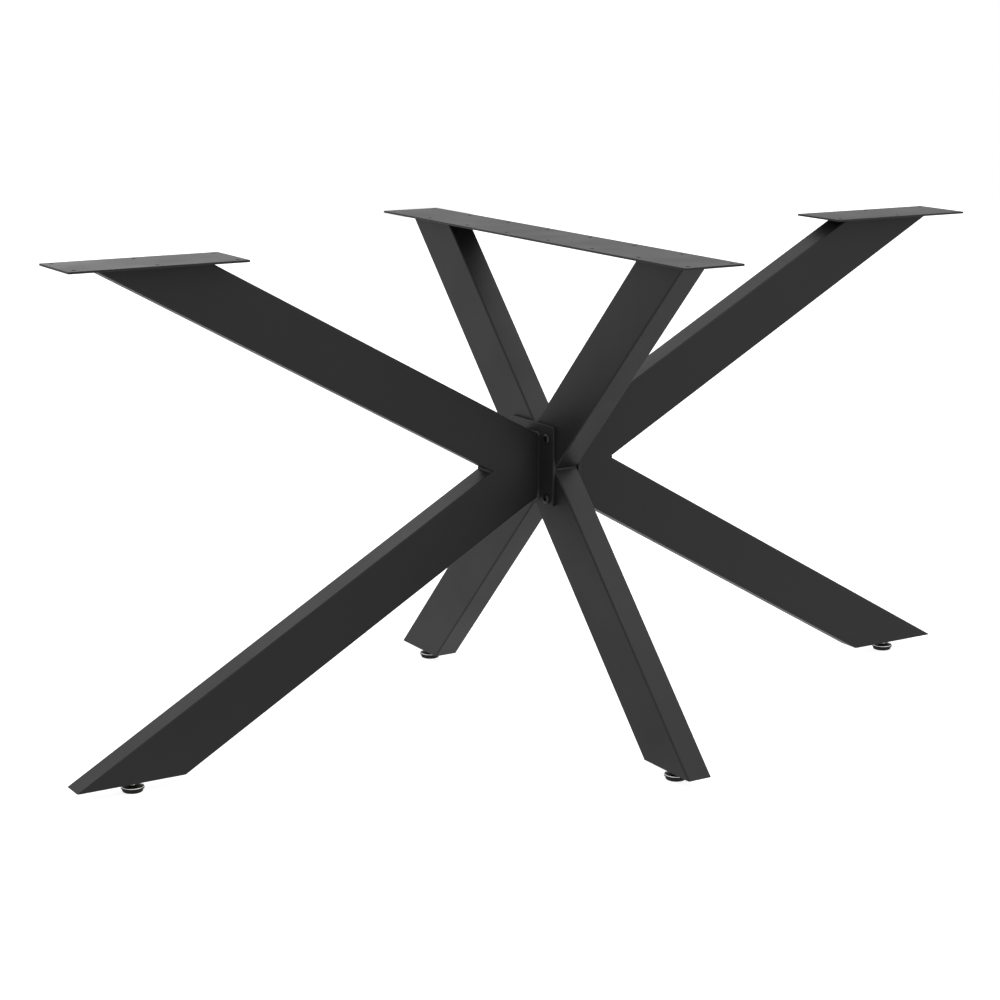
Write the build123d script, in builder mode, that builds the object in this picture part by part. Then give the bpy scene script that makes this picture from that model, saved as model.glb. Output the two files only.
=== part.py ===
from build123d import *
import os

# Steel spider table base: two half frames bolted to the left and right of a welded centre frame.
# Millimetres. +X runs along the table, +Y to its back, +Z up.
# The origin is on the floor, under the point where the frames cross.

# Overall sizes
base_height = 710.0
base_length = 1480.0
base_width = 790.0
crossing_height = 382.0

# Rectangular steel tube, the same in all eight arms and legs
tube_depth = 78.0
tube_width = 38.0
tube_wall = 2.0
tube_corner = 2.5

# Where the middles of the tube ends stand, measured from the crossing
short_arm_reach = 302.0
short_leg_reach = 338.0
long_leg_reach = 662.0

# Sheet plates that the table top is screwed to
plate_thickness = 3.0
plate_corner = 1.5
plate_edge = 0.5
end_plate_length = 250.0
end_plate_width = 100.0
centre_plate_width = 95.0
screw_hole = 6.0
screw_edge = 12.5
end_plate_columns = 3
end_plate_rows = 2
centre_plate_columns = 2
centre_plate_rows = 8

# Bolted joint between each half frame and the centre frame
flange_thickness = 5.0
flange_corner = 3.0
flange_edge = 0.8
flange_overhang = 37.5
flange_rim_above = 16.0
flange_rim_below = 7.0
bolt_row_drop = 1.0
bolt_row_spacing = 88.0
bolt_inset = 15.0
bolt_diameter = 8.0
bolt_hole = 9.0
bolt_length = 16.0
bolt_tip_chamfer = 1.0
bolt_head = 14.0
bolt_head_height = 4.4
bolt_head_rim = 1.1
bolt_head_flat = 7.0
bolt_socket = 5.0
bolt_socket_depth = 2.8
insert_diameter = 11.0
insert_length = 14.0
insert_collar = 13.0
insert_collar_thickness = 0.8
thread_play = 0.05

# Sole plate and weld nut in the foot of each leg
sole_height = 16.0
sole_thickness = 3.0
nut_across_flats = 13.0
nut_height = 6.5

# Levelling foot: threaded stud with a spanner hexagon, pressed steel cap and moulded pad
long_foot_inset = 7.0
short_foot_inset = 3.0
stud_diameter = 8.0
stud_top = 40.0
stud_chamfer = 1.0
stud_hex = 13.0
stud_hex_height = 3.0
cap_diameter = 31.5
cap_crown = 16.0
cap_wall = 1.0
cap_bottom = 5.0
cap_shoulder = 8.0
cap_top = 10.5
cap_bend = 1.0
pad_diameter = 27.5
pad_edge = 1.5
seat_play = 0.05

os.makedirs("parts", exist_ok=True)

plate_underside = base_height - plate_thickness
long_arm_reach = (base_length - end_plate_length) / 2
flange_inner = tube_width / 2
flange_outer = flange_inner + flange_thickness
flange_width = tube_width + 2 * flange_overhang
bolt_y = flange_width / 2 - bolt_inset
bolt_row_middle = crossing_height - bolt_row_drop
bolt_heights = (bolt_row_middle + bolt_row_spacing / 2, bolt_row_middle - bolt_row_spacing / 2)

width_dir = Vector(1, 0, 0)
depth_dir = Vector(0, 1, 0)
under_plate = Plane(origin=(0, 0, plate_underside), z_dir=(0, 0, -1))
above_sole = Plane(origin=(0, 0, sole_height), z_dir=(0, 0, 1))


def finish(part, name):
    """Label a finished piece and write its STEP file."""
    part.label = name
    export_step(part, f"parts/{name}.step")


def mirrored(piece, plane):
    """The same piece on the other side of a plane."""
    with BuildPart() as other:
        mirror(piece, about=plane)
    return other.part


def side_plane(side, distance, y, z):
    """Plane across X at a distance from the middle, facing out to the left (-1) or right (1)."""
    return Plane(origin=(side * distance, y, z), x_dir=(0, 1, 0), z_dir=(side, 0, 0))


def rim(faces):
    """Outer edges of the faces, without those of their holes."""
    return [edge for face in faces for edge in face.outer_wire().edges()]


def slope(start, end):
    """Unit vector from start to end."""
    return (end - start).normalized()


def mitre_normal(first, second):
    """Normal of the mitre plane between two runs that start from one corner, leaning to the first."""
    return first.normalized() - second.normalized()


def tube_bore(mode):
    """Outline of the tube's inside, drawn in the sketch that is open."""
    RectangleRounded(
        tube_width - 2 * tube_wall,
        tube_depth - 2 * tube_wall,
        tube_corner - tube_wall,
        mode=mode,
    )


def tube(start, end, across, cuts):
    """Hollow rectangular tube from start to end, its narrow side along across, cut off at each plane."""
    run = slope(start, end)
    spare = tube_depth
    with BuildPart() as body:
        with BuildSketch(Plane(origin=start - run * spare, x_dir=across, z_dir=run)):
            RectangleRounded(tube_width, tube_depth, tube_corner)
            tube_bore(mode=Mode.SUBTRACT)
        extrude(amount=(end - start).length + 2 * spare)
        for cut in cuts:
            split(bisect_by=cut, keep=Keep.TOP)
    return body.part


def tube_filling(start, end, across, low, high):
    """The space inside a leg's tube between two heights: the shape of the plate welded into its foot."""
    with BuildPart() as filling:
        with BuildSketch(Plane(origin=start, x_dir=across, z_dir=slope(start, end))):
            tube_bore(mode=Mode.ADD)
        extrude(amount=(end - start).length + tube_depth)
        split(bisect_by=Plane.XY.offset(low), keep=Keep.TOP)
        split(bisect_by=Plane.XY.offset(high), keep=Keep.BOTTOM)
    return filling.part


# Left half frame: an arm and a leg mitred into one V, its open ends closed by the flange.
# Their centre lines meet in the middle of the flange's thickness.
left_crossing = Vector(-(flange_inner + flange_thickness / 2), 0, crossing_height)
left_arm_end = Vector(-long_arm_reach, 0, plate_underside)
left_leg_end = Vector(-long_leg_reach, 0, sole_height)
left_mitre = mitre_normal(left_arm_end - left_crossing, left_leg_end - left_crossing)
left_of_flange = side_plane(-1, flange_outer, 0, 0)

left_upper_arm = tube(
    left_crossing,
    left_arm_end,
    depth_dir,
    [under_plate, left_of_flange, Plane(origin=left_crossing, z_dir=left_mitre)],
)
left_lower_leg = tube(
    left_crossing,
    left_leg_end,
    depth_dir,
    [above_sole, left_of_flange, Plane(origin=left_crossing, z_dir=-left_mitre)],
)

# Centre frame, front half: an arm and a leg, each with a double mitre where the four tubes meet.
crossing = Vector(0, 0, crossing_height)
front_arm_end = Vector(0, -short_arm_reach, plate_underside)
front_leg_end = Vector(0, -short_leg_reach, sole_height)
front_mitre = mitre_normal(front_arm_end - crossing, front_leg_end - crossing)
front_half = Plane(origin=(0, 0, 0), z_dir=(0, -1, 0))


def centre_tube(end, mitre, bolt_height):
    """One tube of the centre frame's front half, with a threaded insert's seat in each wide wall."""
    cuts = [under_plate, above_sole, front_half, Plane(origin=crossing, z_dir=mitre)]
    with BuildPart() as body:
        add(tube(crossing, end, width_dir, cuts))
        with Locations(*[side_plane(side, flange_inner, -bolt_y, bolt_height) for side in (-1, 1)]):
            CounterBoreHole(
                radius=insert_diameter / 2,
                counter_bore_radius=insert_collar / 2,
                counter_bore_depth=insert_collar_thickness,
                depth=tube_width / 2,
            )
    return body.part


front_upper_arm = centre_tube(front_arm_end, front_mitre, bolt_heights[0])
front_lower_leg = centre_tube(front_leg_end, -front_mitre, bolt_heights[1])

# The back half mirrors the front half, and the right half frame mirrors the left one.
finish(left_upper_arm, "left_upper_arm")
finish(left_lower_leg, "left_lower_leg")
finish(mirrored(left_upper_arm, Plane.YZ), "right_upper_arm")
finish(mirrored(left_lower_leg, Plane.YZ), "right_lower_leg")
finish(front_upper_arm, "front_upper_arm")
finish(front_lower_leg, "front_lower_leg")
finish(mirrored(front_upper_arm, Plane.XZ), "back_upper_arm")
finish(mirrored(front_lower_leg, Plane.XZ), "back_lower_leg")

# Flange plates, welded across the ends of the half frames. Each stands proud of the tubes all round.


def tube_reach(run):
    """How far a tube's outline stands above or below the crossing at the flange's outer face."""
    return (tube_depth / 2 + flange_thickness / 2 * abs(run.Z)) / abs(run.X)


flange_top = crossing_height + tube_reach(slope(left_crossing, left_arm_end)) + flange_rim_above
flange_bottom = crossing_height - tube_reach(slope(left_crossing, left_leg_end)) - flange_rim_below
flange_middle = (flange_top + flange_bottom) / 2
bolt_spots = [(y, z) for y in (-bolt_y, bolt_y) for z in bolt_heights]

for name, side in (("left_flange", -1), ("right_flange", 1)):
    with BuildPart() as flange:
        with BuildSketch(side_plane(side, flange_inner, 0, flange_middle)):
            RectangleRounded(flange_width, flange_top - flange_bottom, flange_corner)
        extrude(amount=flange_thickness)
        fillet(rim(flange.faces().filter_by(Axis.X)), radius=flange_edge)
        with Locations(*[side_plane(side, flange_outer, y, z) for y, z in bolt_spots]):
            Hole(radius=bolt_hole / 2, depth=flange_thickness)
    finish(flange.part, name)

# Button-head bolt with a hex socket. Its head sits on the XY plane and its shank points down.
with BuildPart() as bolt:
    with BuildSketch(Plane.XZ):
        with BuildLine():
            Polyline((0, 0), (bolt_head / 2, 0), (bolt_head / 2, bolt_head_rim))
            TangentArc(
                (bolt_head / 2, bolt_head_rim),
                (bolt_head_flat / 2, bolt_head_height),
                tangent=(0, 1),
            )
            Polyline((bolt_head_flat / 2, bolt_head_height), (0, bolt_head_height), (0, 0))
        make_face()
    revolve(axis=Axis.Z)
    with BuildSketch(Plane.XY.offset(bolt_head_height)):
        RegularPolygon(radius=bolt_socket / 2, side_count=6, major_radius=False)
    extrude(amount=-bolt_socket_depth, mode=Mode.SUBTRACT)
    with BuildSketch(Plane.XY):
        Circle(radius=bolt_diameter / 2)
    extrude(amount=-bolt_length)
    chamfer(bolt.faces().sort_by(Axis.Z)[0].edges(), length=bolt_tip_chamfer)

# Blind rivet nut: a collar flush with the tube's face, and a threaded barrel behind it.
with BuildPart() as insert:
    with BuildSketch(Plane.XY):
        Circle(radius=insert_diameter / 2)
    extrude(amount=-insert_length)
    with BuildSketch(Plane.XY):
        Circle(radius=insert_collar / 2)
    extrude(amount=-insert_collar_thickness)
    Hole(radius=bolt_diameter / 2 + thread_play, depth=insert_length)

for name, side in (("left", -1), ("right", 1)):
    with BuildPart() as bolts:
        with Locations(*[side_plane(side, flange_outer, y, z) for y, z in bolt_spots]):
            add(bolt.part)
    finish(bolts.part, f"{name}_flange_bolts")
    with BuildPart() as inserts:
        with Locations(*[side_plane(side, flange_inner, y, z) for y, z in bolt_spots]):
            add(insert.part)
    finish(inserts.part, f"{name}_threaded_inserts")

# Top plates, with two rows of holes for the wood screws that hold the table top.


def top_plate(middle, length, width, columns, rows):
    """Sheet plate under the table top, its screw holes in a grid that keeps clear of its edges."""
    pitch_x = (length - 2 * screw_edge) / (columns - 1)
    pitch_y = (width - 2 * screw_edge) / (rows - 1)
    with BuildPart() as plate:
        with BuildSketch(Plane(origin=(middle, 0, plate_underside))):
            RectangleRounded(length, width, plate_corner)
        extrude(amount=plate_thickness)
        fillet(rim(plate.faces().filter_by(Axis.Z)), radius=plate_edge)
        with Locations(Plane(origin=(middle, 0, base_height))):
            with GridLocations(pitch_x, pitch_y, columns, rows):
                Hole(radius=screw_hole / 2, depth=plate_thickness)
    return plate.part


for name, side in (("left_top_plate", -1), ("right_top_plate", 1)):
    end_plate = top_plate(
        side * long_arm_reach,
        end_plate_length,
        end_plate_width,
        end_plate_columns,
        end_plate_rows,
    )
    finish(end_plate, name)

centre_plate = top_plate(0, centre_plate_width, base_width, centre_plate_columns, centre_plate_rows)
finish(centre_plate, "centre_top_plate")

# Feet. A sole plate with a weld nut on it closes each leg, and a levelling foot screws into both.
sole_top = sole_height + sole_thickness
stud_clearance = stud_diameter / 2 + seat_play
cap_radius = cap_diameter / 2
cap_inner = cap_radius - cap_wall
pad_waist = cap_inner - seat_play
crown_inner = cap_top - cap_wall
shoulder_inner = cap_shoulder - cap_wall

long_foot = long_leg_reach - long_foot_inset
short_foot = short_leg_reach - short_foot_inset
left_filling = tube_filling(left_crossing, left_leg_end, depth_dir, sole_height, sole_top)
front_filling = tube_filling(crossing, front_leg_end, width_dir, sole_height, sole_top)
feet = {
    "left": (Vector(-long_foot, 0, 0), left_filling),
    "right": (Vector(long_foot, 0, 0), mirrored(left_filling, Plane.YZ)),
    "front": (Vector(0, -short_foot, 0), front_filling),
    "back": (Vector(0, short_foot, 0), mirrored(front_filling, Plane.XZ)),
}


def level(place, height):
    """Horizontal plane at a height above a foot's middle."""
    return Plane(origin=place + Vector(0, 0, height))


def upright(place):
    """Plane through a foot's axis, for the half outlines that are revolved."""
    return Plane(origin=place, x_dir=(1, 0, 0), z_dir=(0, -1, 0))


def foot_stud(place):
    """Stud of a levelling foot, with the hexagon that turns it."""
    with BuildPart() as stud:
        with BuildSketch(level(place, cap_bottom)):
            Circle(radius=stud_diameter / 2)
        extrude(amount=stud_top - cap_bottom)
        chamfer(stud.faces().sort_by(Axis.Z)[-1].edges(), length=stud_chamfer)
        with BuildSketch(level(place, cap_top)):
            RegularPolygon(radius=stud_hex / 2, side_count=6, major_radius=False)
        extrude(amount=stud_hex_height)
    return stud.part


def foot_cap(place):
    """Pressed cap: a straight wall, a bent shoulder and a shallow cone up to the flat under the hexagon."""
    with BuildPart() as cap:
        with BuildSketch(upright(place)):
            with BuildLine():
                FilletPolyline(
                    (cap_radius, cap_bottom),
                    (cap_radius, cap_shoulder),
                    (cap_crown / 2, cap_top),
                    (stud_clearance, cap_top),
                    radius=cap_bend,
                )
                Polyline(
                    (stud_clearance, cap_top),
                    (stud_clearance, crown_inner),
                    (cap_crown / 2, crown_inner),
                    (cap_inner, shoulder_inner),
                    (cap_inner, cap_bottom),
                    (cap_radius, cap_bottom),
                )
            make_face()
        revolve(axis=Axis(place, (0, 0, 1)))
    return cap.part


def foot_pad(place):
    """Moulded pad: it fills the cap, takes the stud's end and tapers to the floor."""
    with BuildPart() as pad:
        with BuildSketch(upright(place)):
            with BuildLine():
                Polyline(
                    (0, 0),
                    (pad_diameter / 2, 0),
                    (pad_waist, cap_bottom),
                    (pad_waist, shoulder_inner),
                    (cap_crown / 2, crown_inner),
                    (stud_clearance, crown_inner),
                    (stud_clearance, cap_bottom),
                    (0, cap_bottom),
                    close=True,
                )
            make_face()
        revolve(axis=Axis(place, (0, 0, 1)))
        fillet(pad.faces().sort_by(Axis.Z)[0].edges(), radius=pad_edge)
    return pad.part


for name, (place, filling) in feet.items():
    with BuildPart() as sole_plate:
        add(filling)
        with BuildSketch(level(place, sole_height)):
            Circle(radius=stud_clearance)
        extrude(amount=sole_thickness, mode=Mode.SUBTRACT)
    finish(sole_plate.part, f"{name}_sole_plate")

    with BuildPart() as weld_nut:
        with BuildSketch(level(place, sole_top)):
            RegularPolygon(radius=nut_across_flats / 2, side_count=6, major_radius=False)
            Circle(radius=stud_clearance, mode=Mode.SUBTRACT)
        extrude(amount=nut_height)
    finish(weld_nut.part, f"{name}_weld_nut")

    finish(foot_stud(place), f"{name}_foot_stud")
    finish(foot_cap(place), f"{name}_foot_cap")
    finish(foot_pad(place), f"{name}_foot_pad")
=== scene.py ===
# A black powder-coated steel spider table base on a pale studio floor.
# Every length is in metres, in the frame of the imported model: +X along the table, +Y to its back, +Z up.
import math

import bmesh
import bpy
import numpy as np
from mathutils import Matrix, Vector


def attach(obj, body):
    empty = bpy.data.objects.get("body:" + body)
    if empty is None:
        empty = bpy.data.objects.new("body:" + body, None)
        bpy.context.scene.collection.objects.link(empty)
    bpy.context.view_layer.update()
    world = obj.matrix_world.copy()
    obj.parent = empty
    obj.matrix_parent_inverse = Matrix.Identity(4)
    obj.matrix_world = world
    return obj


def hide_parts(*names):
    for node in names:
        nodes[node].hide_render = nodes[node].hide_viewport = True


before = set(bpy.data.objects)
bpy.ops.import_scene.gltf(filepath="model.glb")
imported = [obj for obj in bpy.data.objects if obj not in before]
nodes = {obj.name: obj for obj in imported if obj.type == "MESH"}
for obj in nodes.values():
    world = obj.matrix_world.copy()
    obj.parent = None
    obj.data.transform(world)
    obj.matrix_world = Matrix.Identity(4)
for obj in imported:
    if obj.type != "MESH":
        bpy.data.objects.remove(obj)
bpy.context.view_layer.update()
MM = 0.001

# Arms, legs and plates: rectangular mild-steel tube and 3 and 5 mm sheet, cut, welded and ground.
# The welded frames are then sprayed with polyester powder and baked, so one satin black skin with
# a fine orange peel runs over tubes, plates and welds alike.


def linear(hex_colour):
    """sRGB hex colour as linear RGBA."""
    parts = [int(hex_colour[i:i + 2], 16) / 255 for i in (1, 3, 5)]
    return [p / 12.92 if p <= 0.04045 else ((p + 0.055) / 1.055) ** 2.4 for p in parts] + [1.0]


def add_node(owner, kind, settings=None, links=None):
    """Add one shader node to a material or the world, set its sockets or properties, and link its inputs
    to other nodes' outputs."""
    node = owner.node_tree.nodes.new(kind)
    for key, value in (settings or {}).items():
        if isinstance(key, int) or key in node.inputs:
            node.inputs[key].default_value = value
        else:
            setattr(node, key, value)
    for key, (source, output) in (links or {}).items():
        owner.node_tree.links.new(source.outputs[output], node.inputs[key])
    return node


def new_material(name):
    """A material whose node tree is empty."""
    material = bpy.data.materials.new(name)
    material.use_nodes = True
    material.node_tree.nodes.clear()
    return material


def powder_coated_steel():
    """Polyester powder coat: a satin dielectric film, with orange peel about 1 mm across and a slow drift of
    its thickness."""
    material = new_material("powder_coated_steel")
    place = add_node(material, "ShaderNodeTexCoord")
    # Orange peel of the baked film. The real grain is about 0.6 mm; it is drawn at 1.1 mm so that it shows.
    peel = add_node(material, "ShaderNodeTexNoise", {"Scale": 1 / (1.1 * MM), "Detail": 2.0, "Roughness": 0.55},
                    {"Vector": (place, "Object")})
    # Film thickness drifts over a hand's width, and takes the gloss and the colour with it.
    drift = add_node(material, "ShaderNodeTexNoise", {"Scale": 1 / (90 * MM), "Detail": 3.0, "Roughness": 0.5},
                     {"Vector": (place, "Object")})
    roughness = add_node(material, "ShaderNodeMapRange",
                         {"From Min": 0.3, "From Max": 0.7, "To Min": 0.45, "To Max": 0.53},
                         {"Value": (drift, "Fac")})
    colour = add_node(material, "ShaderNodeValToRGB", links={"Fac": (drift, "Fac")})
    for stop, (position, shade) in zip(colour.color_ramp.elements, ((0.3, "#1c1c1d"), (0.7, "#202021"))):
        stop.position = position
        stop.color = linear(shade)
    bump = add_node(material, "ShaderNodeBump", {"Strength": 0.25, "Distance": 0.06 * MM},
                    {"Height": (peel, "Fac")})
    # A polyester film is nearer 1.5. The matting wax at its skin takes that down, as the photographed sheen shows.
    film = add_node(material, "ShaderNodeBsdfPrincipled", {"IOR": 1.36},
                    {"Base Color": (colour, "Color"), "Roughness": (roughness, "Result"), "Normal": (bump, "Normal")})
    add_node(material, "ShaderNodeOutputMaterial", links={"Surface": (film, "BSDF")})
    return material


def paint(node_names, material):
    """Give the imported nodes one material."""
    for name in node_names:
        mesh = nodes[name].data
        mesh.materials.clear()
        mesh.materials.append(material)


coat = powder_coated_steel()
sides = ("left", "right", "front", "back")
for part in ("upper_arm", "lower_leg", "sole_plate"):
    paint([f"{side}_{part}" for side in sides], coat)
paint(["left_top_plate", "centre_top_plate", "right_top_plate", "left_flange", "right_flange"], coat)

# Weld beads: MIG fillets with legs of 2 to 8 mm, laid before the coat and covered by it. They fill the six
# crotches of the frames, and run round the half frames' ends on the flanges and the arms' ends under the plates.

# The tubes' section and its outer corner radius.
half_depth = 39 * MM
half_width = 19 * MM
bend = 2.5 * MM
# The centre lines: their crossing, the apex of each half frame's V, and their ends under the plates and at the feet.
crossing_z = 382 * MM
plate_z = 707 * MM
sole_z = 16 * MM
apex_x = 21.5 * MM
half_arm_end = 615 * MM
half_leg_end = 662 * MM
centre_arm_end = 302 * MM
centre_leg_end = 338 * MM
# The outer faces of the two flanges stand at this x to either side.
flange_face = 24 * MM
# Rows of points along a bead, the pitch of the welder's ripple, and how deep the root lies in the metal.
bead_step = 0.45 * MM
ripple_pitch = 2.4 * MM
root_depth = 0.3 * MM


def unit(vector):
    """The vectors of an array at length 1."""
    vector = np.asarray(vector, float)
    return vector / np.linalg.norm(vector, axis=-1, keepdims=True)


def length_so_far(points):
    """The way along a line of points, 0 at the first."""
    return np.concatenate([[0], np.cumsum(np.linalg.norm(np.diff(points, axis=0), axis=1))])


def ring_faces(count, size, closed):
    """Four-sided faces between count rings of size points each. On a closed run the last ring meets the first."""
    return [(i * size + j, i * size + (j + 1) % size,
             (i + 1) % count * size + (j + 1) % size, (i + 1) % count * size + j)
            for i in range(count if closed else count - 1) for j in range(size)]


def rounded_loop(half_a, half_b):
    """Points (a, b) a bead_step apart round a tube's rounded outline, a rectangle with quarter circles
    (bend cos a, bend sin a) in its corners, and the outward normal at each."""
    angle = np.linspace(0, math.pi / 2, 7)
    quarters = ((1, 1, 0), (-1, 1, math.pi / 2), (-1, -1, math.pi), (1, -1, 1.5 * math.pi))
    turns = [np.stack([sign_a * (half_a - bend) + bend * np.cos(angle + start),
                       sign_b * (half_b - bend) + bend * np.sin(angle + start)], 1)
             for sign_a, sign_b, start in quarters]
    ring = np.concatenate(turns + [turns[0][:1]])
    way = length_so_far(ring)
    at = np.linspace(0, way[-1], int(way[-1] / bead_step), endpoint=False)
    points = np.stack([np.interp(at, way, ring[:, 0]), np.interp(at, way, ring[:, 1])], 1)
    along = np.roll(points, -1, 0) - np.roll(points, 1, 0)
    return points, unit(np.stack([along[:, 1], -along[:, 0]], 1))


def bead(corner, first, second, leg, closed):
    """Fillet weld along the corner between two faces. With s the way along it, t from 0 on the first face to 1
    on the second, n the unit vector out of the corner and square to second - first, and m the shorter of the two:
    p(s, t) = corner + leg ((1 - t) first + t second)
              + leg m (0.10 + 0.05 sin(2 pi s / ripple_pitch + 2 sin(pi t))) sin(pi t) n.
    The root, corner - root_depth n, closes the section inside the metal."""
    way = length_so_far(corner)[:, None, None]
    t = np.linspace(0, 1, 8)[None, :, None]
    first, second, corner = first[:, None], second[:, None], corner[:, None]
    leg = leg[:, None, None]
    chord = unit(second - first)
    out = unit(first + second - np.sum((first + second) * chord, -1, keepdims=True) * chord)
    shorter = np.minimum(np.linalg.norm(first, axis=-1, keepdims=True),
                         np.linalg.norm(second, axis=-1, keepdims=True))
    ripple = shorter * (0.10 + 0.05 * np.sin(2 * math.pi * way / ripple_pitch + 2 * np.sin(math.pi * t)))
    face = corner + leg * ((1 - t) * first + t * second) + leg * ripple * np.sin(math.pi * t) * out
    section = np.concatenate([face, corner - root_depth * out], 1)
    count, size = section.shape[:2]
    caps = [] if closed else [tuple(range(size)), tuple(range((count - 1) * size, count * size))]
    return section.reshape(-1, 3), ring_faces(count, size, closed) + caps


def crotch_bead(start, first, second, across, first_leg, second_leg):
    """Bead in the corner of two mitred tubes that leave start along first and second, with its own leg up each.
    The corner lies half_depth / sin(half the angle between them) out along the bisector. With u from -1 to 1
    across the tubes, the legs shrink by 0.6 u^8, which rounds the ends off 0.5 mm short of the wide faces."""
    first, second, across = unit(first), unit(second), np.array(across, float)
    sine_of_half_angle = np.linalg.norm(first - second) / 2
    middle = np.array(start) + half_depth / sine_of_half_angle * unit(first + second)
    u = np.linspace(-1, 1, 84)
    corner = middle + u[:, None] * (half_width - 0.5 * MM) * across
    ones = np.ones((len(u), 1))
    return bead(corner, ones * first * first_leg, ones * second * second_leg, 1 - 0.6 * u ** 8, False)


def flange_bead(sign, up, down):
    """Bead round a half frame's end on its flange, where the arm goes up and the leg goes down. The wide faces are
    welded from inside and have only a 0.5 mm run of coat. With d the way in from the nearer narrow face:
    leg = 0.5 mm + 3 mm clip(1.5 - d / wrap, 0, 1), wrap being 2 mm at the top and 8 mm at the bottom."""
    proud = flange_face - apex_x
    top = crossing_z + (half_depth + proud * abs(up[2])) / abs(up[0])
    bottom = crossing_z - (half_depth + proud * abs(down[2])) / abs(down[0])
    half_height = (top - bottom) / 2
    points, normals = rounded_loop(half_width, half_height)
    corner = np.stack([np.full(len(points), sign * flange_face), points[:, 0], points[:, 1] + (top + bottom) / 2], 1)
    slope = np.where(normals[:, 1] > 0, abs(up[2] / up[0]), abs(down[2] / down[0])) * normals[:, 1]
    first = unit(np.stack([np.full(len(points), float(sign)), np.zeros(len(points)), slope], 1))
    second = np.stack([np.zeros(len(points)), normals[:, 0], normals[:, 1]], 1)
    inset = half_height - abs(points[:, 1])
    wrap = np.where(points[:, 1] < 0, 8 * MM, 2 * MM)
    leg = (0.5 + 3.0 * np.clip(1.5 - inset / wrap, 0, 1)) * MM
    return bead(corner, first, second, leg, True)


def plate_bead(end, up, across):
    """Bead round an arm's end under its plate. With n the normal's part towards the acute corner:
    leg = 3 mm + 5 mm clip(n, 0, 1)^2 + 1 mm clip(-n, 0, 1)^2."""
    lean = math.hypot(up[0], up[1])
    inward = -np.array([up[0], up[1], 0]) / lean
    points, normals = rounded_loop(half_depth / abs(up[2]), half_width)
    corner = np.array(end) + points[:, :1] * inward + points[:, 1:] * np.array(across, float)
    first = unit(abs(normals[:, :1]) * lean / abs(up[2]) * inward + np.array([0, 0, -1.0]))
    second = normals[:, :1] * inward + normals[:, 1:] * np.array(across, float)
    leg = (3 + 5 * np.clip(normals[:, 0], 0, 1) ** 2 + np.clip(-normals[:, 0], 0, 1) ** 2) * MM
    return bead(corner, first, second, leg, True)


def shell(name, parts):
    """One smooth mesh object from several (points, faces) shells, with all faces pointing outwards."""
    points, faces = [], []
    for part_points, part_faces in parts:
        faces += [tuple(index + len(points) for index in face) for face in part_faces]
        points += part_points.tolist()
    mesh = bpy.data.meshes.new(name)
    mesh.from_pydata(points, [], faces)
    work = bmesh.new()
    work.from_mesh(mesh)
    bmesh.ops.recalc_face_normals(work, faces=work.faces)
    work.to_mesh(mesh)
    work.free()
    mesh.shade_smooth()
    piece = bpy.data.objects.new(name, mesh)
    bpy.context.collection.objects.link(piece)
    return piece


along_x = (1, 0, 0)
along_y = (0, 1, 0)
crossing = (0, 0, crossing_z)
rise = plate_z - crossing_z
fall = sole_z - crossing_z
# The beads' legs in the crotches: first up the arm, then down the leg.
half_frame_legs = (5.0 * MM, 5.5 * MM)
crease_legs = (2.0 * MM, 2.8 * MM)
centre_leg = 5.0 * MM
crotches, collars, seats = [], [], []
for sign in (-1, 1):
    apex = (sign * apex_x, 0, crossing_z)
    up = unit((sign * (half_arm_end - apex_x), 0, rise))
    down = unit((sign * (half_leg_end - apex_x), 0, fall))
    centre_up = unit((0, sign * centre_arm_end, rise))
    centre_down = unit((0, sign * centre_leg_end, fall))
    crotches.append(crotch_bead(apex, up, down, along_y, *half_frame_legs))
    collars.append(flange_bead(sign, up, down))
    seats.append(plate_bead((sign * half_arm_end, 0, plate_z), up, along_y))
    seats.append(plate_bead((0, sign * centre_arm_end, plate_z), centre_up, along_x))
    crotches.append(crotch_bead(crossing, centre_up, centre_down, along_x, *crease_legs))
for end, height in ((centre_arm_end, rise), (centre_leg_end, fall)):
    crotches.append(crotch_bead(crossing, (0, -end, height), (0, end, height), along_x, centre_leg, centre_leg))
for name, parts in (("crotch_welds", crotches), ("flange_welds", collars), ("plate_welds", seats)):
    welds = shell(name, parts)
    welds.data.materials.append(coat)
    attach(welds, "frame")

# Flange bolts: M8 button heads with a hex socket, black zinc-nickel over cold-headed steel.
# They are driven from outside through the flanges into the centre frame.


def black_plated_steel():
    """Black zinc-nickel plate: thin, dark and semi-gloss, with a slightly uneven sheen from the bath."""
    material = new_material("black_plated_steel")
    place = add_node(material, "ShaderNodeTexCoord")
    speckle = add_node(material, "ShaderNodeTexNoise", {"Scale": 1 / (1.5 * MM), "Detail": 3.0},
                       {"Vector": (place, "Object")})
    roughness = add_node(material, "ShaderNodeMapRange", {"To Min": 0.22, "To Max": 0.36},
                         {"Value": (speckle, "Fac")})
    plate = add_node(material, "ShaderNodeBsdfPrincipled", {"Base Color": linear("#26262a"), "Metallic": 0.6},
                     {"Roughness": (roughness, "Result")})
    add_node(material, "ShaderNodeOutputMaterial", links={"Surface": (plate, "BSDF")})
    return material


paint(["left_flange_bolts", "right_flange_bolts"], black_plated_steel())

# Weld nuts and threaded inserts: turned and cold-formed steel, bright zinc plated, as the foot studs are.
# The nuts are projection-welded on the sole plates, and the inserts are set into the centre frame's wide faces.


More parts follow.
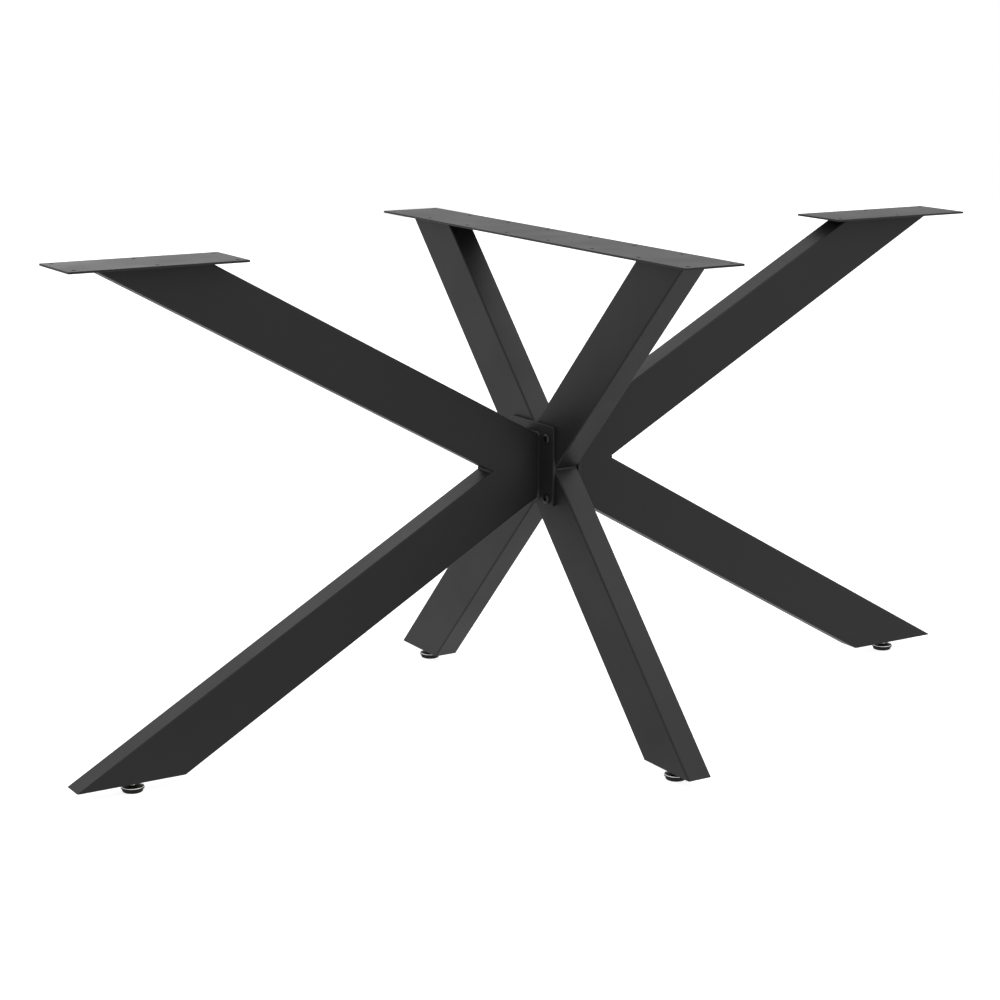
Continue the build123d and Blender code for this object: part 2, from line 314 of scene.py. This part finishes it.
def zinc_plated_steel():
    """Blue-bright zinc plate: a pale metal with a slightly mottled, satin sheen."""
    material = new_material("zinc_plated_steel")
    place = add_node(material, "ShaderNodeTexCoord")
    spangle = add_node(material, "ShaderNodeTexNoise", {"Scale": 1 / (3 * MM), "Detail": 4.0},
                       {"Vector": (place, "Object")})
    colour = add_node(material, "ShaderNodeValToRGB", links={"Fac": (spangle, "Fac")})
    for stop, (position, shade) in zip(colour.color_ramp.elements, ((0.35, "#a9adb2"), (0.65, "#c4c7ca"))):
        stop.position = position
        stop.color = linear(shade)
    roughness = add_node(material, "ShaderNodeMapRange", {"To Min": 0.22, "To Max": 0.38},
                         {"Value": (spangle, "Fac")})
    metal = add_node(material, "ShaderNodeBsdfPrincipled", {"Metallic": 1.0},
                     {"Base Color": (colour, "Color"), "Roughness": (roughness, "Result")})
    add_node(material, "ShaderNodeOutputMaterial", links={"Surface": (metal, "BSDF")})
    return material


zinc = zinc_plated_steel()
paint([f"{side}_weld_nut" for side in sides], zinc)
paint(["left_threaded_inserts", "right_threaded_inserts"], zinc)

# Foot studs: M8 x 1.25 with a rolled thread, and a 13 mm spanner hexagon 3 mm high, chamfered on top.
# They turn the foot up and down in the weld nut, so the thread runs the whole way from pad to tip.


def about_axis(place, r, angle, z):
    """Points round a foot's upright axis: x = r cos a, y = r sin a, with r and z in millimetres."""
    r, angle, z = np.broadcast_arrays(r, angle, z)
    return np.stack([place[0] + r * np.cos(angle) * MM, place[1] + r * np.sin(angle) * MM, z * MM], 2)


def stacked_rings(rows):
    """A closed shell over rows of points, each row a ring round the axis, with a flat fan at each end."""
    count, size = rows.shape[:2]
    points = np.concatenate([rows.reshape(-1, 3), rows[0].mean(0)[None], rows[-1].mean(0)[None]])
    faces = ring_faces(count, size, False)
    faces += [((j + 1) % size, j, count * size) for j in range(size)]
    last = (count - 1) * size
    faces += [(last + j, last + (j + 1) % size, count * size + 1) for j in range(size)]
    return points, faces


def thread(place):
    """Rolled thread. With q the distance from the crest in pitches, wrapped to -0.5..0.5 of
    z / pitch - angle / 2 pi: r = 3.95 mm - 0.70 mm clip((|q| - 0.06) / 0.34, 0, 1), and no more than
    3 mm + the way down from the tip."""
    pitch, pad_z, tip_z = 1.25, 5.0, 40.0
    angle = np.linspace(0, 2 * math.pi, 40, endpoint=False)[None]
    z = np.arange(pad_z, tip_z + 0.01, pitch / 6)[:, None]
    q = (z / pitch - angle / (2 * math.pi) + 0.5) % 1 - 0.5
    r = 3.95 - 0.70 * np.clip((abs(q) - 0.06) / 0.34, 0, 1)
    r = np.minimum(r, 3.0 + tip_z - z)
    return stacked_rings(about_axis(place, r, angle, z))


def spanner_hexagon(place):
    """Hexagon 13 mm across flats, cut at its top by the 30 degree cone of the forming tool:
    r = min(6.5 mm / cos(angle from the nearest flat), 6.3 mm + 1.73 (top - z)). It closes on the stud's core."""
    top, core_r = 13.5, 3.2
    angle = np.linspace(0, 2 * math.pi, 96, endpoint=False)[None]
    off_flat = (angle + math.pi / 6) % (math.pi / 3) - math.pi / 6
    z = np.array([10.5, 10.5, 12.6, 12.8, 13.0, 13.2, 13.4, top, top])[:, None]
    r = np.minimum(6.5 / np.cos(off_flat), 6.3 + 1.73 * (top - z))
    r[0] = r[-1] = core_r
    return stacked_rings(about_axis(place, r, angle, z))


foot_places = {"left": (-655 * MM, 0), "right": (655 * MM, 0), "front": (0, -335 * MM), "back": (0, 335 * MM)}
for side, place in foot_places.items():
    stud = shell(f"{side}_threaded_stud", [thread(place), spanner_hexagon(place)])
    stud.data.set_sharp_from_angle(angle=math.radians(28))
    stud.data.materials.append(zinc)
    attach(stud, f"{side}_foot")
    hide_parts(f"{side}_foot_stud")

# Levelling foot: a pressed steel cap, bright nickel plated, set in a moulded nylon pad. The pad's lip, 31.9 mm
# across, grips the cap's wall up to 7 mm above the floor, so only a thin bright rim shows round the foot.


def nickel_plated_steel():
    """Bright nickel: a clear mirror whose gloss is slightly uneven, as on a tumbled pressing."""
    material = new_material("nickel_plated_steel")
    place = add_node(material, "ShaderNodeTexCoord")
    rub = add_node(material, "ShaderNodeTexNoise", {"Scale": 1 / (0.8 * MM), "Detail": 2.0},
                   {"Vector": (place, "Object")})
    roughness = add_node(material, "ShaderNodeMapRange", {"To Min": 0.06, "To Max": 0.16}, {"Value": (rub, "Fac")})
    metal = add_node(material, "ShaderNodeBsdfPrincipled", {"Base Color": linear("#d9d7d2"), "Metallic": 1.0},
                     {"Roughness": (roughness, "Result")})
    add_node(material, "ShaderNodeOutputMaterial", links={"Surface": (metal, "BSDF")})
    return material


def moulded_nylon():
    """Black nylon, injection moulded in a spark-eroded tool, so it is matt with a fine even grain."""
    material = new_material("moulded_nylon")
    place = add_node(material, "ShaderNodeTexCoord")
    grain = add_node(material, "ShaderNodeTexNoise", {"Scale": 1 / (0.4 * MM), "Detail": 2.0},
                     {"Vector": (place, "Object")})
    bump = add_node(material, "ShaderNodeBump", {"Strength": 0.3, "Distance": 0.03 * MM}, {"Height": (grain, "Fac")})
    plastic = add_node(material, "ShaderNodeBsdfPrincipled",
                       {"Base Color": linear("#0b0b0b"), "Roughness": 0.7, "IOR": 1.35},
                       {"Normal": (bump, "Normal")})
    add_node(material, "ShaderNodeOutputMaterial", links={"Surface": (plastic, "BSDF")})
    return material


def pad_lip(place):
    """The lip's closed section (r, z) in millimetres, turned round the foot's axis."""
    r, z = np.array([(14.2, 4.2), (15.3, 4.4), (15.9, 4.9), (15.95, 5.4),
                     (15.95, 6.7), (15.8, 7.0), (15.5, 7.0), (15.0, 5.6)]).T
    angle = np.linspace(0, 2 * math.pi, 96, endpoint=False)[:, None]
    points = about_axis(place, r, angle, z)
    return points.reshape(-1, 3), ring_faces(*points.shape[:2], True)


nylon = moulded_nylon()
paint([f"{side}_foot_cap" for side in sides], nickel_plated_steel())
paint([f"{side}_foot_pad" for side in sides], nylon)
for side, place in foot_places.items():
    lip = shell(f"{side}_pad_lip", [pad_lip(place)])
    lip.data.materials.append(nylon)
    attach(lip, f"{side}_foot")

# Studio: a pale floor that stays white to the camera where no shadow falls, a white surround and
# two soft lamps. The camera stands where the photographer stood, fitted to the object's edges.


def studio_floor():
    """Pale matt floor. To the camera it also glows, so that it is white but for the contact shadow, and in
    mirrors and glass it is plain white, like the surround."""
    material = new_material("studio_floor")
    path = add_node(material, "ShaderNodeLightPath")
    matt = add_node(material, "ShaderNodeBsdfDiffuse", {"Color": linear("#e8e8e8")})
    lift = add_node(material, "ShaderNodeMath", {"operation": "MULTIPLY", 1: 0.8}, {0: (path, "Is Camera Ray")})
    glow = add_node(material, "ShaderNodeEmission", {"Color": linear("#ffffff")}, {"Strength": (lift, "Value")})
    direct = add_node(material, "ShaderNodeAddShader", links={0: (matt, "BSDF"), 1: (glow, "Emission")})
    mirrored = add_node(material, "ShaderNodeEmission", {"Color": linear("#ffffff"), "Strength": 1.0})
    in_mirror = add_node(material, "ShaderNodeMath", {"operation": "MAXIMUM"},
                         {0: (path, "Is Glossy Ray"), 1: (path, "Is Transmission Ray")})
    both = add_node(material, "ShaderNodeMixShader",
                    links={0: (in_mirror, "Value"), 1: (direct, "Shader"), 2: (mirrored, "Emission")})
    add_node(material, "ShaderNodeOutputMaterial", links={"Surface": (both, "Shader")})
    return material


floor_half = 6.0
floor_mesh = bpy.data.meshes.new("floor")
floor_mesh.from_pydata([(-floor_half, -floor_half, 0), (floor_half, -floor_half, 0),
                        (floor_half, floor_half, 0), (-floor_half, floor_half, 0)], [], [(0, 1, 2, 3)])
floor = bpy.data.objects.new("floor", floor_mesh)
bpy.context.collection.objects.link(floor)
floor_mesh.materials.append(studio_floor())


def studio_surround():
    """White to the camera and in mirrors and glass, and a plain even light of strength 0.8 on matt surfaces."""
    world = bpy.data.worlds.new("studio")
    world.use_nodes = True
    world.node_tree.nodes.clear()
    path = add_node(world, "ShaderNodeLightPath")
    in_mirror = add_node(world, "ShaderNodeMath", {"operation": "MAXIMUM"},
                         {0: (path, "Is Glossy Ray"), 1: (path, "Is Transmission Ray")})
    seen = add_node(world, "ShaderNodeMath", {"operation": "MAXIMUM"},
                    {0: (path, "Is Camera Ray"), 1: (in_mirror, "Value")})
    light = add_node(world, "ShaderNodeBackground", {"Color": linear("#ffffff"), "Strength": 0.8})
    white = add_node(world, "ShaderNodeBackground", {"Color": linear("#ffffff"), "Strength": 1.0})
    both = add_node(world, "ShaderNodeMixShader",
                    links={0: (seen, "Value"), 1: (light, "Background"), 2: (white, "Background")})
    add_node(world, "ShaderNodeOutputWorld", links={"Surface": (both, "Shader")})
    return world


def soft_lamp(name, place, aim, size, power):
    """Square area lamp at place, turned to aim."""
    data = bpy.data.lights.new(name, "AREA")
    data.size = size
    data.energy = power
    lamp = bpy.data.objects.new(name, data)
    lamp.location = place
    lamp.rotation_euler = (Vector(aim) - Vector(place)).to_track_quat("-Z", "Y").to_euler()
    bpy.context.collection.objects.link(lamp)


bpy.context.scene.world = studio_surround()
near_crossing = (0, 0, 0.4)
soft_lamp("overhead", place=(1.6, -0.9, 2.9), aim=near_crossing, size=2.2, power=22)
soft_lamp("behind", place=(0.3, 3.4, 1.9), aim=near_crossing, size=1.6, power=6)

# The camera's fitted place and turn. The azimuth runs from +Y towards +X, and the focal length is in frame widths.
camera_azimuth = math.radians(31.791)
camera_dip = math.radians(13.001)
camera_roll = math.radians(0.328)
camera_place = Vector((-1.8158, -2.8045, 1.0951))
focal_in_frames = 2.3573
sensor = 36.0
forward = Vector((
    math.sin(camera_azimuth) * math.cos(camera_dip),
    math.cos(camera_azimuth) * math.cos(camera_dip),
    -math.sin(camera_dip),
))
sideways = Vector((math.cos(camera_azimuth), -math.sin(camera_azimuth), 0))
upright = sideways.cross(forward)
rightward = sideways * math.cos(camera_roll) + upright * math.sin(camera_roll)
upward = upright * math.cos(camera_roll) - sideways * math.sin(camera_roll)
camera_data = bpy.data.cameras.new("camera")
camera_data.sensor_width = sensor
camera_data.lens = sensor * focal_in_frames
camera = bpy.data.objects.new("camera", camera_data)
camera.matrix_world = Matrix.Translation(camera_place) @ Matrix((rightward, upward, -forward)).transposed().to_4x4()
bpy.context.collection.objects.link(camera)
bpy.context.scene.camera = camera
bpy.context.scene.view_settings.view_transform = "Standard"
